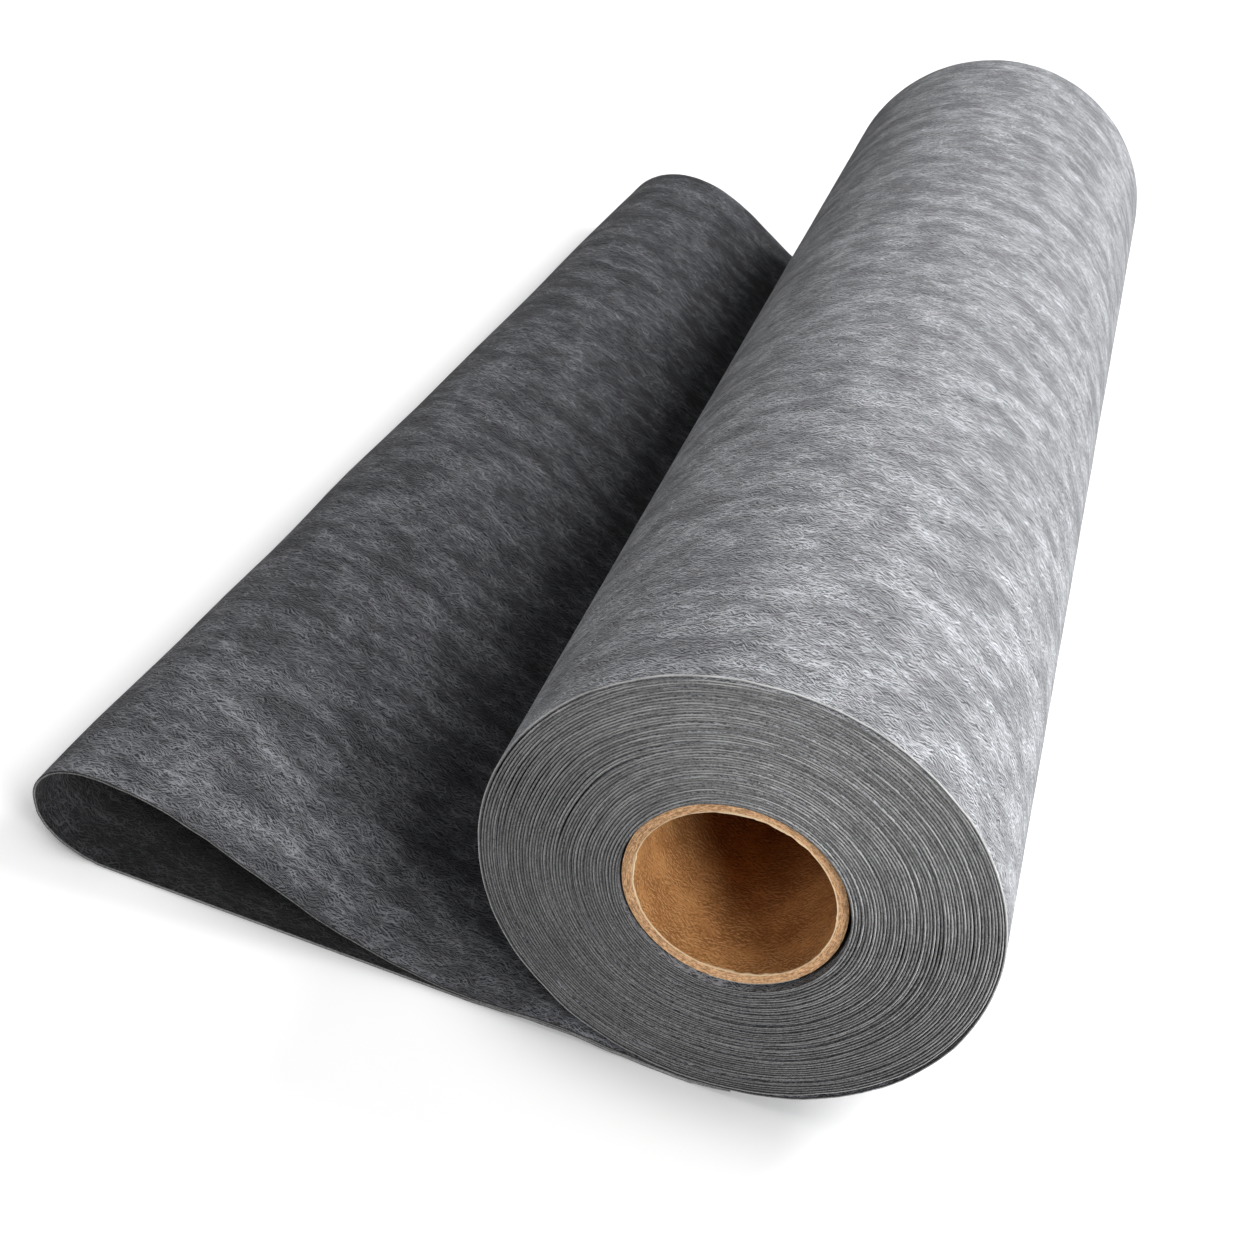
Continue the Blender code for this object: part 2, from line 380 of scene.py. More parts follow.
def build_ring_mesh(name, places, flat, depth, kinds):
    """Joins ring points, given as [ring, along, xyz], into a closed mesh with its two maps."""
    around, along = places.shape[:2]
    half = around // 2
    number = np.arange(around * along).reshape(around, along)
    next_ring = np.roll(number, -1, axis=0)
    walls = np.stack([number[:, :-1], number[:, 1:], next_ring[:, 1:], next_ring[:, :-1]], axis=2)
    faces = walls.reshape(-1, 4).tolist()
    kind_of_face = kinds.ravel().tolist()
    for column, flip in ((0, False), (along - 1, True)):
        for strip in range(half - 1):
            cap = [number[strip, column], number[strip + 1, column],
                   number[around - 2 - strip, column], number[around - 1 - strip, column]]
            faces.append([int(v) for v in (reversed(cap) if flip else cap)])
            kind_of_face.append(CUT_EDGE)
    mesh = bpy.data.meshes.new(name)
    mesh.from_pydata(places.reshape(-1, 3).tolist(), [], faces)
    mesh.polygons.foreach_set("material_index", kind_of_face)
    corner = np.zeros(len(mesh.loops), dtype=np.int32)
    mesh.loops.foreach_get("vertex_index", corner)
    for title, values in zip(MAP_NAMES, (flat, depth)):
        layer = mesh.uv_layers.new(name=title)
        layer.uv.foreach_set("vector", values.reshape(-1, 2)[corner].astype(np.float32).ravel())
    mesh.shade_smooth()
    mesh.update()
    return put_in_scene(name, mesh)


print("each sheet gets the maps", " and ".join(MAP_NAMES))

# %% [markdown]
# ## The loose end
#
# This is one piece of sheet: the roll's outermost turn, the layer that runs out over the floor,
# the fold and the layer that comes back. On the real roll it is the same sheet as the winding.
# It is parted where the outermost turn begins, because the roll turns inside it. A perfectly even
# band would look like plastic. So low dimples and wide billows lift it a little, and its cut edges
# stray as the knife did.

# %% The loose end's waves and thickness
DIMPLE_HEIGHT = 0.00010
BILLOW_HEIGHT = 0.0010
DIMPLES_FROM_HEIGHT, DIMPLES_TO_HEIGHT = 0.003, 0.010
BILLOWS_FROM_HEIGHT, BILLOWS_TO_HEIGHT = 0.010, 0.045
INNER_TAPER = 0.15
PRESSED_SHARE = 0.73
PRESSED_TURN = 0.10
FREE_TAPER = 0.034
THIN_SHARE = 0.12
dimples = soft_waves(11, 0.120, 0.022, 12)
billows = soft_waves(12, 0.400, 0.110, 8)
edge_waves = {-1: soft_waves(13, 0.090, 0.006, 12), 1: soft_waves(14, 0.090, 0.006, 12)}
EDGE_UNEVEN = 0.00035

# How far along the sheet it leaves the roll, and where its outermost turn begins
near_lengths = lengths_along(near_line)
SHEET_LEAVES_ROLL = near_lengths[len(outer_turn_line()) - 1]
OUTER_TURN_FROM = near_lengths[round(TURN_STEPS * (TURNS_SHOWN - 1))]
ONE_TURN = 2 * math.pi * OUTER_TURN_RADIUS


def loose_lift(length, y, line):
    """Small dimples wherever the sheet shows, and wider billows where nothing holds it."""
    height = line[:, 1]
    dimpled = smooth((height - DIMPLES_FROM_HEIGHT) / DIMPLES_TO_HEIGHT)
    dimpled = dimpled * (length > OUTER_TURN_FROM)
    billowed = smooth((height - BILLOWS_FROM_HEIGHT) / BILLOWS_TO_HEIGHT)
    billowed = billowed * (length > SHEET_LEAVES_ROLL)
    free = (length > length[-1] - FREE_TAPER) * (SHEET_THICKNESS - loose_thickness(length)) / 2
    return (DIMPLE_HEIGHT * dimpled * dimples(length, y)
            + BILLOW_HEIGHT * billowed * billows(length, y) + free)


def loose_thickness(length):
    """The sheet's thickness: it is pressed under the outermost turn, and thin at both ends."""
    inner = smooth(length / INNER_TAPER)
    free = smooth((length[-1] - length) / FREE_TAPER)
    before = (OUTER_TURN_FROM - length) / ONE_TURN
    pressed = 1 - (1 - PRESSED_SHARE) * smooth((before - PRESSED_TURN) / PRESSED_TURN)
    return SHEET_THICKNESS * pressed * (THIN_SHARE + (1 - THIN_SHARE) * inner * free)


def loose_edge(side, length):
    """How far the knife strayed to one side, at each length of the sheet."""
    return EDGE_UNEVEN * edge_waves[side](length)


def loose_line(y):
    """The whole line at one place across the sheet, which is 1 m wide."""
    return outer_turn_line() + fold_line(y + HALF_WIDTH)


thinnest, thickest = loose_thickness(near_lengths).min(), loose_thickness(near_lengths).max()
print(f"the sheet is {thinnest * 1000:.2f} to {thickest * 1000:.2f} mm thick")

# %% The loose end
ROW_COUNT = 34
# How far in from the cut edge the rows of points lie: two close to it, then even rows
RIM_ROWS_IN = (0.003, 0.010)
EVEN_ROWS_IN = 0.03
rim_rows = [-HALF_WIDTH + inwards for inwards in RIM_ROWS_IN]
even_rows = np.linspace(-HALF_WIDTH + EVEN_ROWS_IN, HALF_WIDTH - EVEN_ROWS_IN, ROW_COUNT)
rows = rim_rows + list(even_rows) + [-y for y in reversed(rim_rows)]
loose_end = loft_sheet("loose_end_sheet", half_ring(rows, RIM_ROUND), loose_thickness,
                       loose_line, loose_edge, loose_lift, dark_from=len(outer_turn_line()))
print("loose end:", len(loose_end.data.polygons), "faces")

# %% [markdown]
# ## The wound sheet
#
# From the end the winding looks like tree rings. Rings painted on a disc would pass from afar,
# but only real turns stand out unevenly and leave shadows between them. So it is a spiral of some
# 45 turns of pressed felt. The air between two turns changes as one goes round: here they lie
# close, there they stand apart and leave a dark line. The air is drawn first, as an uneven share,
# and then spread so that every radius comes out right at the outside and at the core.

# %% The radius of each turn
TURNS = 45
STEPS_PER_TURN = 120
WOUND_THICKNESS = 0.00131
START_TURN = 0.45
SLOW_AIR, QUICK_AIR = 0.50, 0.55
BORE_SLACK = 0.0021
BORE_SLACK_TURN = 0.93
CORE_CLEARANCE = 0.0006
OUTER_SWELL = 0.00010
INNER_RADIUS = CORE_RADIUS + CORE_CLEARANCE
OUTER_RADIUS = WINDING_RADIUS + OUTER_SWELL


def air_shares(turn):
    """How much air lies outside each point of the spiral, as an uneven share."""
    slow = soft_waves(21, 2.3, 0.31, 9)(turn)
    quick = soft_waves(22, 0.9, 0.09, 11)(turn)
    ends = smooth(np.minimum(turn, TURNS - turn))
    return np.exp(ends * (SLOW_AIR * slow + QUICK_AIR * quick))


def bore_slack(part):
    """How far the innermost turn stands off the core, most of all at the lower right."""
    turn = part + START_TURN - BORE_SLACK_TURN
    return BORE_SLACK * (0.5 + 0.5 * np.cos(2 * math.pi * turn)) ** 1.5


def turn_radii():
    """The middle radius of each turn, [turn, step], from the core outwards."""
    part = np.linspace(0, 1, STEPS_PER_TURN + 1)
    air = air_shares(np.arange(TURNS)[:, None] + part)
    first = INNER_RADIUS + WOUND_THICKNESS / 2 + bore_slack(part)
    last = OUTER_RADIUS - WOUND_THICKNESS / 2
    room = last - first - (TURNS - 1) * WOUND_THICKNESS
    gaps = air[:-1] * (room / air[:-1].sum(axis=0))
    below = np.vstack([np.zeros_like(part), np.cumsum(gaps + WOUND_THICKNESS, axis=0)])
    return part, first + below


first_turn, last_turn = turn_radii()[1][[0, -1]]
print(f"innermost turn {first_turn.mean():.4f}, outermost turn {last_turn.mean():.4f}")

# %% The spiral
CLIMB_SHARE = 0.10
CLIMB_STEPS = round(CLIMB_SHARE * STEPS_PER_TURN)


def spiral():
    """The wound sheet as (turn counted from the core, middle radius, thickness).

    Each turn is nearly a circle. In its last part it climbs on to the turn outside it. The sheet
    thins out at both ends, to fill the wedge that the climbing turn leaves.
    """
    part, radii = turn_radii()
    climb = smooth((part - 1 + CLIMB_SHARE) / CLIMB_SHARE)
    rise = radii[1:, 0] - radii[:-1, -1]
    inner = radii[:-1] + climb * rise[:, None]
    start = radii[0][-CLIMB_STEPS - 1:-1]
    radius = np.concatenate([start, inner[:, :-1].ravel(), radii[-1]])
    turn = (np.arange(len(radius)) - CLIMB_STEPS) / STEPS_PER_TURN
    start_share = smooth((turn + CLIMB_SHARE) / CLIMB_SHARE)
    end_share = smooth((TURNS - turn) / CLIMB_SHARE)
    thickness = WOUND_THICKNESS * (THIN_SHARE + (1 - THIN_SHARE) * start_share * end_share)
    side = np.where(turn > TURNS / 2, 1, -1)
    return turn, radius + side * (WOUND_THICKNESS - thickness) / 2, thickness


wound_turn, wound_radius, wound_thickness = spiral()
outer_face = wound_radius + wound_thickness / 2
inner_face = wound_radius - wound_thickness / 2
air = inner_face[STEPS_PER_TURN:] - outer_face[:-STEPS_PER_TURN]
print(f"{wound_turn[-1]:.1f} turns, faces from {inner_face.min():.4f} to {outer_face.max():.4f}")
print(f"air between turns: up to {air.max() * 1000:.2f} mm")
print(f"the thin tips are pressed {-air.min() * 1000:.2f} mm into the turn beside them")

# %% The wound sheet
DISH_DEPTH = 0.0012
TURN_UNEVEN = 0.00040
FRAY_UNEVEN = 0.00012
WOUND_ROWS_IN = 0.012
wound_angle = 2 * math.pi * (wound_turn + START_TURN)
wound_line = np.stack([-wound_radius * np.sin(wound_angle),
                       AXIS_HEIGHT - wound_radius * np.cos(wound_angle)], axis=1)


def wound_edge(side, length):
    """The ends of the turns: each stands a little out or in, and the inner ones stand back."""
    depth = (OUTER_RADIUS - wound_radius) / (OUTER_RADIUS - INNER_RADIUS)
    dish = DISH_DEPTH * depth ** 1.5
    turn = soft_waves(23 + side, 3.1, 0.6, 9)(wound_turn)
    fray = soft_waves(33 + side, 0.030, 0.004, 9)(length)
    return dish + TURN_UNEVEN * turn + FRAY_UNEVEN * fray


wound_rows = [-HALF_WIDTH + WOUND_ROWS_IN, HALF_WIDTH - WOUND_ROWS_IN]
wound_ring = half_ring(wound_rows, WOUND_ROUND)
winding = loft_sheet("wound_sheet", wound_ring, lambda length: wound_thickness,
                     lambda y: wound_line, wound_edge, lambda length, y, line: 0.0)

# %% [markdown]
# ## The paper core
#
# The core is a tube of brown board, wound from some eight plies of paper. Its cut end shows the
# plies as fine rings, and the saw left the innermost ply a little frayed. A tube made from two
# cylinders would be much too smooth there. So a profile of the wall, with one small step for each
# ply, is turned about the axis, and waves lift its points so that no ring is perfect.

# %% The core's profile
PLIES = 8
PLY_GROOVE = 0.00022
PLY_LIP = 0.00035
# Between which shares of its thickness a ply's end stands highest, before the groove beside it
PLY_CROWN_FROM, PLY_CROWN_TO = 0.30, 0.80
LIP_FALL = 0.6
CORE_CORNER = 0.0003
CORE_CORNER_WIDTH = 0.0001
BORE_ROWS = 40
BORE_RADIUS = CORE_RADIUS - CORE_WALL
CORE_END, CORE_BORE, CORE_OUTSIDE = 0, 1, 2


def end_profile():
    """The cut end from the bore to the outside, as (radius, height above the end's plane)."""
    points = [(BORE_RADIUS, -CORE_CORNER), (BORE_RADIUS + CORE_CORNER_WIDTH, 0.0)]
    ply = CORE_WALL / PLIES
    for index in range(PLIES):
        inner = BORE_RADIUS + index * ply
        lip = PLY_LIP if index == 0 else 0.0
        points += [(inner + PLY_CROWN_FROM * ply, lip), (inner + PLY_CROWN_TO * ply, lip * LIP_FALL),
                   (inner + ply, -PLY_GROOVE)]
    return points[:-1] + [(CORE_RADIUS - CORE_CORNER_WIDTH, 0.0), (CORE_RADIUS, -CORE_CORNER)]


def core_profile():
    """Once round the wall: near end outwards, outside, far end inwards, bore. (radius, y, kind)"""
    end = end_profile()
    near = [(r, -CORE_HALF_LENGTH - h, CORE_END) for r, h in end]
    far = [(r, CORE_HALF_LENGTH + h, CORE_END) for r, h in reversed(end)]
    rows = np.linspace(CORE_HALF_LENGTH, -CORE_HALF_LENGTH, BORE_ROWS + 2)[1:-1]
    bore = [(BORE_RADIUS, y, CORE_BORE) for y in rows]
    near[-1] = (*near[-1][:2], CORE_OUTSIDE)
    far[-1] = (*far[-1][:2], CORE_BORE)
    return near + far + bore


print("points once round the wall:", len(core_profile()))

# %% The paper core
CORE_SEGMENTS = 180
ROUGH_OUTSIDE, ROUGHER_INSIDE = 0.00010, 0.00030
WORN_DEPTH = 0.0012
TORN_DEPTH = 0.0008
DENT_DEPTH = 0.00015


def make_core():
    """The profile turned about the axis. The end is rough, and its inner lip worn and torn."""
    profile = core_profile()
    around = np.arange(CORE_SEGMENTS) / CORE_SEGMENTS
    turn = 2 * math.pi * around + math.pi
    fray = soft_waves(41, 0.5, 0.012, 16)
    dents = soft_waves(42, 0.160, 0.030, 10)
    places, flat = [], []
    travelled = 0.0
    for index, (radius, y, kind) in enumerate(profile):
        before = profile[index - 1]
        travelled += math.hypot(radius - before[0], y - before[1]) if index else 0.0
        inner = 1 - (radius - BORE_RADIUS) / CORE_WALL
        rough = ROUGH_OUTSIDE + ROUGHER_INSIDE * inner ** 3 if kind == CORE_END else 0.0
        out = -1 if y < 0 else 1
        # One function of waves serves three times, stretched and shifted so that no two look alike
        wave = fray(around * 0.37 + radius * 9 + (y > 0))
        at_lip = inner ** 6 * (kind == CORE_END)
        worn = np.clip(fray(around + 0.2) - 0.25, 0, 1) * at_lip
        torn = np.clip(fray(around * 1.7 + 3.1) - 0.15, 0, 1) * at_lip
        ys = y + out * (rough * wave - WORN_DEPTH * worn)
        dent = dents(around * 0.35 + 7 * (y > 0), y)
        r = radius + DENT_DEPTH * dent - TORN_DEPTH * torn
        places.append(np.stack([r * np.sin(turn), ys, AXIS_HEIGHT - r * np.cos(turn)], axis=1))
        flat.append(np.stack([around * 2 * math.pi * BORE_RADIUS,
                              np.full_like(around, travelled)], axis=1))
    return turned_mesh("paper_core", np.array(places), np.array(flat),
                       [kind for _, _, kind in profile])


print("the lip is worn down by up to", WORN_DEPTH * 1000, "mm")

# %% The turned points joined into a tube


def turned_mesh(name, places, flat, kinds):
    """A tube from points [profile, around, xyz], closed both ways, with one map in metres."""
    rings, around = places.shape[:2]
    number = np.arange(rings * around).reshape(rings, around)
    beside = np.roll(number, -1, axis=1)
    faces = np.stack([number, np.roll(number, -1, axis=0),
                      np.roll(beside, -1, axis=0), beside], axis=2).reshape(-1, 4)
    mesh = bpy.data.meshes.new(name)
    mesh.from_pydata(places.reshape(-1, 3).tolist(), [], faces.tolist())
    mesh.polygons.foreach_set("material_index", np.repeat(kinds, around))
    last_column = number % around == around - 1
    wide = np.stack([flat, np.roll(flat, -1, axis=0),
                     np.roll(np.roll(flat, -1, axis=0), -1, axis=1),
                     np.roll(flat, -1, axis=1)], axis=2).reshape(-1, 4, 2)
    lap = 2 * math.pi * BORE_RADIUS
    wide[last_column.ravel(), 2:, 0] += lap
    tall = flat[-1, 0, 1]
    wide[-around:, 1:3, 1] = tall + np.abs(places[0, 0, 1] - places[-1, 0, 1])
    mesh.uv_layers.new(name="flat").uv.foreach_set("vector", wide.astype(np.float32).ravel())
    mesh.shade_smooth()
    mesh.update()
    return put_in_scene(name, mesh)


core = make_core()
print("paper core:", len(core.data.polygons), "faces")

# %% [markdown]
# ## A short way to wire nodes
#
# Every finish here is a tree of small nodes. In the Shader editor each of them is placed and
# joined by hand. This helper adds a node, sets it up and joins its inputs in one line, so that
# the recipes below are short enough to read.

# %% Wiring


class Wiring:
    """Adds nodes to one tree. A value may be a number, or the output of another node."""

    def __init__(self, tree):
        self.tree = tree

    def add(self, kind, inputs=None, **settings):
        """A new node of this kind, with its settings made and its inputs fed."""
        node = self.tree.nodes.new("ShaderNode" + kind)
        for title, value in settings.items():
            setattr(node, title, value)
        self.feed_all(node, inputs or {})
        return node

    def feed(self, socket, value):
        """Joins a socket to another node's output, or sets it to a plain value."""
        if isinstance(value, bpy.types.NodeSocket):
            self.tree.links.new(value, socket)
        else:
            socket.default_value = value

    def feed_all(self, node, inputs):
        """Feeds several inputs of a node, which are given by their names or numbers."""
        for title, value in inputs.items():
            self.feed(node.inputs[title], value)

    def math(self, operation, first, second=0.0):
        """A sum, product or other result of one or two numbers."""
        return self.add("Math", {0: first, 1: second}, operation=operation).outputs[0]

    def vector(self, operation, first, second):
        """The same for places or colours, whose three parts are taken one by one."""
        return self.add("VectorMath", {0: first, 1: second}, operation=operation).outputs[0]

    def noise(self, place, scale=1.0, detail=0.0, roughness=0.5, dimensions="2D"):
        """A cloudy pattern from 0 to 1 that is mostly near 0.5."""
        inputs = {"Vector": place, "Scale": scale, "Detail": detail, "Roughness": roughness}
        return self.add("TexNoise", inputs, noise_dimensions=dimensions).outputs["Fac"]

    def between(self, value, low, high, to_low=0.0, to_high=1.0):
        """The value, moved smoothly from low..high to to_low..to_high and held there."""
        inputs = {"Value": value, "From Min": low, "From Max": high,
                  "To Min": to_low, "To Max": to_high}
        return self.add("MapRange", inputs, interpolation_type="SMOOTHSTEP").outputs["Result"]

    def mixed(self, share, first, second):
        """The first colour, turning to the second as the share goes from 0 to 1.

        A Mix node has inputs for each kind of value. Those for colours have the numbers 6 and 7.
        """
        node = self.add("Mix", {0: share, 6: first, 7: second}, data_type="RGBA")
        return node.outputs[2]

    def weighed(self, *pairs):
        """The sum of some values, each times its weight."""
        total = 0.0
        for value, weight in pairs:
            total = self.math("ADD", total, self.math("MULTIPLY", value, weight))
        return total

    def join(self, x, y, z=0.0):
        """Three numbers made into one place."""
        return self.add("CombineXYZ", {0: x, 1: y, 2: z}).outputs[0]

    def shaded(self, colour, shade):
        """The colour, made lighter or darker by the factor shade."""
        return self.vector("MULTIPLY", colour, self.join(shade, shade, shade))

    def turned(self, place, degrees):
        """The place, turned about the origin of the flat sheet."""
        return self.add("VectorRotate", {"Vector": place, "Angle": math.radians(degrees)},
                        rotation_type="Z_AXIS").outputs[0]

    def bump(self, shader, strength, distance, height):
        """Makes the shader's surface look as uneven as this height says."""
        node = self.add("Bump", {"Strength": strength, "Distance": distance, "Height": height})
        self.feed(shader.inputs["Normal"], node.outputs["Normal"])


print("wiring can", ", ".join(name for name in vars(Wiring) if not name.startswith("_")))

# %% Groups and materials


def new_group(title, inputs, outputs):
    """An empty shader group with named sockets, with its wiring, input and output nodes."""
    tree = bpy.data.node_groups.new(title, "ShaderNodeTree")
    for name, kind, value in inputs:
        socket = tree.interface.new_socket(name=name, in_out="INPUT", socket_type=kind)
        socket.default_value = value
    for name in outputs:
        tree.interface.new_socket(name=name, in_out="OUTPUT", socket_type="NodeSocketFloat")
    return tree, Wiring(tree), tree.nodes.new("NodeGroupInput"), tree.nodes.new("NodeGroupOutput")


def use_group(wiring, group, inputs):
    """Places a group in a material with its own values, and gives its outputs."""
    node = wiring.tree.nodes.new("ShaderNodeGroup")
    node.node_tree = group
    wiring.feed_all(node, inputs)
    return node.outputs


def new_material(title):
    """A material with its wiring and its Principled shader."""
    material = bpy.data.materials.new(title)
    material.use_nodes = True
    wiring = Wiring(material.node_tree)
    return material, wiring, material.node_tree.nodes["Principled BSDF"]


print("materials so far:", [material.name for material in bpy.data.materials])

# %% [markdown]
# ## Fibres
#
# Fleece is a mat of long thin fibres that were laid down at random and pressed. As hairs they
# would be millions, so they are painted by noise, in two patterns. Threads are wavy ruled lines of
# which only short stretches show, in a few layers at different angles. Strands are a noise
# stretched one way, less the same noise moved a little aside, so that each strand has a light side
# and a dark side, as if lamp light fell across it. The group is built once, and each face of the
# membrane gives it its own greys and strengths.

# %% One layer of fibres
# How wide a thread is drawn, as a share of the spacing, and how much of that is its sharp middle
THREAD_WIDTH_SHARE = 0.21
THREAD_CORE_SHARE = 0.15
# Threads: angle in degrees; length, spacing and waviness in metres; share that shows
THREAD_LAYERS = (
    (7, 0.030, 0.0036, 0.0060, 0.43),
    (-13, 0.027, 0.0038, 0.0056, 0.43),
    (4, 0.009, 0.0018, 0.0032, 0.48),
    (-26, 0.009, 0.0019, 0.0032, 0.45),
    (31, 0.009, 0.0019, 0.0032, 0.45),
    (-58, 0.009, 0.0026, 0.0030, 0.39),
    (72, 0.009, 0.0030, 0.0030, 0.37),
)
# Short strands of the felt: angle in degrees; length and spacing in metres
STRAND_LAYERS = ((3, 0.0050, 0.00108), (27, 0.0046, 0.00112), (-23, 0.0048, 0.00116))
STRAND_SHADOW = 0.00033
STRAND_DARK, STRAND_LIGHT = -0.09, 0.165
PATCH_SIZE = 0.011


def fibre_layer(wiring, place, seed, angle, length, spacing, wave, shown):
    """A mask of wavy threads of one width that run about one way.

    The sheet is ruled with wavy lines. Each line has a number, and a noise of its own along its
    way, which shows some stretches of it and hides the others.
    """
    moved = wiring.vector("ADD", wiring.turned(place, angle), (seed * 1.37, seed * 2.11, 0.0))
    bend = wiring.noise(moved, 1 / (2.0 * wave), 1.0)
    bend = wiring.math("MULTIPLY", wiring.math("SUBTRACT", bend, 0.5), 2.0 * wave)
    split = wiring.add("SeparateXYZ", {0: moved})
    ruled = wiring.math("DIVIDE", wiring.math("ADD", split.outputs[1], bend), spacing)
    number = wiring.math("FLOOR", ruled)
    off = wiring.math("ABSOLUTE", wiring.math("SUBTRACT", wiring.math("FRACT", ruled), 0.5))
    sharp = THREAD_CORE_SHARE * THREAD_WIDTH_SHARE
    line = wiring.between(off, sharp, THREAD_WIDTH_SHARE, 1.0, 0.0)
    along = wiring.math("DIVIDE", split.outputs[0], length)
    gate = wiring.noise(wiring.join(along, wiring.math("MULTIPLY", number, 7.31)), 1.0, 1.0)
    return wiring.math("MULTIPLY", line, wiring.between(gate, 1 - shown, 1.10 - shown))


def strand_layer(wiring, place, seed, angle, length, spacing):
    """Noise stretched one way, and the same less its own shadow, which lies just beside it.

    The second is strong in some patches and weak in others, so that the strands change their
    way from patch to patch.
    """
    along = wiring.turned(place, angle)
    both = []
    for shift in (0.0, STRAND_SHADOW):
        moved = wiring.vector("ADD", along, (seed * 1.73, seed * 2.57 + shift, 0.0))
        stretched = wiring.vector("MULTIPLY", moved, (1 / length, 1 / spacing, 1.0))
        both.append(wiring.noise(stretched, 1.0, 1.0, 0.6))
    patch = wiring.noise(wiring.vector("ADD", place, (seed * 3.1, seed * 1.9, 0.0)),
                         1 / PATCH_SIZE, 1.0)
    lit = wiring.math("SUBTRACT", both[0], both[1])
    return both[0], wiring.math("MULTIPLY", lit, wiring.between(patch, 0.38, 0.62, 0.35, 1.5))


print(len(THREAD_LAYERS), "layers of threads,", len(STRAND_LAYERS), "layers of strands")

# %% The group of fibres
CURL_SIZE = 0.012
THREAD_RELIEF = 0.6
# Clouds and streaks of thicker and thinner fleece: length and width in metres; detail; weight
CLOUD_LAYERS = ((0.042, 0.021, 4.0, 0.75), (0.014, 0.0042, 2.0, 0.25))


def make_fibre_group():
    """Threads, strands and clouds at a place on the flat sheet, in metres.

    Curl is how far, in metres, the strands are bent aside from their straight way.
    """
    tree, wiring, given, result = new_group(
        "fleece_fibres",
        [("Place", "NodeSocketVector", (0, 0, 0)), ("Seed", "NodeSocketFloat", 0.0),
         ("Curl", "NodeSocketFloat", 0.006)],
        ["Threads", "Strands", "Clouds", "Height"],
    )
    seed = given.outputs["Seed"]
    place = wiring.vector("ADD", given.outputs["Place"], wiring.join(seed, seed))
    threads = 0.0
    for index, layer in enumerate(THREAD_LAYERS):
        mask = fibre_layer(wiring, place, index + 1, *layer)
        threads = wiring.math("MAXIMUM", threads, mask)
    swirl = wiring.add("TexNoise", {"Vector": place, "Scale": 1 / CURL_SIZE, "Detail": 1.0},
                       noise_dimensions="2D").outputs["Color"]
    curl = given.outputs["Curl"]
    swirl = wiring.vector("MULTIPLY", wiring.vector("SUBTRACT", swirl, (0.5, 0.5, 0.5)),
                          wiring.join(curl, curl))
    bent = wiring.vector("ADD", place, swirl)
    strands, height = 0.0, wiring.math("MULTIPLY", threads, THREAD_RELIEF)
    for index, layer in enumerate(STRAND_LAYERS):
        value, lit = strand_layer(wiring, bent, index + 1, *layer)
        strands = wiring.math("ADD", strands, lit)
        height = wiring.math("ADD", height, value)
    strands = wiring.between(strands, STRAND_DARK, STRAND_LIGHT)
    clouds = []
    for length, width, detail, weight in CLOUD_LAYERS:
        stretched = wiring.vector("MULTIPLY", bent, (1 / length, 1 / width, 1.0))
        clouds.append((wiring.noise(stretched, 1.0, detail, 0.62), weight))
    wiring.feed_all(result, {"Threads": threads, "Strands": strands,
                             "Clouds": wiring.weighed(*clouds), "Height": height})
    return tree


fibres = make_fibre_group()
print("group", fibres.name, "has", len(fibres.nodes), "nodes")

# %% [markdown]
# ## The two faces of the membrane
#
# The outside of the roll is light grey and the loose end is charcoal. Inside the fold the outer face
# wears painted shade, in greys near black. A picture of felt would repeat over so long a sheet, and
# the noise of the group doesn't.
# All three are the same mat, so one function makes their materials.

# %% Fleece materials


def grey(level, tint=0.0):
    """A grey of this level, with a little more blue and less red."""
    return (level * (1 - tint / 3), level, level * (1 + tint), 1.0)


def make_fleece(title, dark, light, thread, cloud, seed, curl, threads_shown):
    """Fleece from its darkest to its lightest grey, with threads of another grey on it.

    cloud is how much lighter and darker it gets from place to place. seed moves the pattern, curl
    bends the strands aside, and threads_shown is how strong the threads are at most.
    """
    material, wiring, shader = new_material(title)
    place = wiring.add("UVMap", uv_map="flat").outputs["UV"]
    mat = use_group(wiring, fibres, {"Place": place, "Seed": seed, "Curl": curl})
    colour = wiring.mixed(mat["Strands"], dark, light)
    strength = wiring.between(mat["Clouds"], 0.36, 0.62, 0.4 * threads_shown, threads_shown)
    colour = wiring.mixed(wiring.math("MULTIPLY", mat["Threads"], strength), colour, thread)
    shade = wiring.between(mat["Clouds"], 0.34, 0.66, 1 - cloud, 1 + cloud)
    wiring.feed(shader.inputs["Base Color"], wiring.shaded(colour, shade))
    wiring.feed(shader.inputs["Roughness"], wiring.between(mat["Threads"], 0, 1, 0.95, 0.80))
    shader.inputs["Specular IOR Level"].default_value = 0.25
    shader.inputs["Sheen Weight"].default_value = 0.08
    wiring.bump(shader, 0.5, 0.0002, mat["Height"])
    return material


light_fleece = make_fleece(
    "light_fleece", grey(0.120, 0.055), grey(0.61, 0.055), grey(0.82, 0.055),
    cloud=0.24, seed=0.0, curl=0.005, threads_shown=0.60)
charcoal_fleece = make_fleece(
    "charcoal_fleece", grey(0.033, 0.08), grey(0.200, 0.08), grey(0.32, 0.07),
    cloud=0.32, seed=3.3, curl=0.006, threads_shown=0.65)
# Painted shade: the outer face inside the fold, painted near black where the fold keeps the light
# off
inside_fleece = make_fleece(
    "inside_fleece", grey(0.009, 0.07), grey(0.045, 0.07), grey(0.09, 0.06),
    cloud=0.30, seed=5.1, curl=0.006, threads_shown=0.60)
print("fleece:", light_fleece.name, charcoal_fleece.name, inside_fleece.name)

# %% [markdown]
# ## The cut edge
#
# Where the sheet is cut, one sees its thickness: grainy felt, with a light fringe at the outer face
# and a dark line at the face towards the core. The fringe is partly the light felt's own grey and
# partly a painted highlight, as the cut's rounded edge would catch the light. In one plain grey the
# turns would run together on the end of the roll. The map of the depth tells the material where each
# tone belongs.

# %% Cut edge
# Painted shade on the fringe inside the fold: over what length it sets in, and how much of the
# fringe is left
FRINGE_SHADE_FADE = 0.10
FRINGE_FOLD_SHADE = 0.20


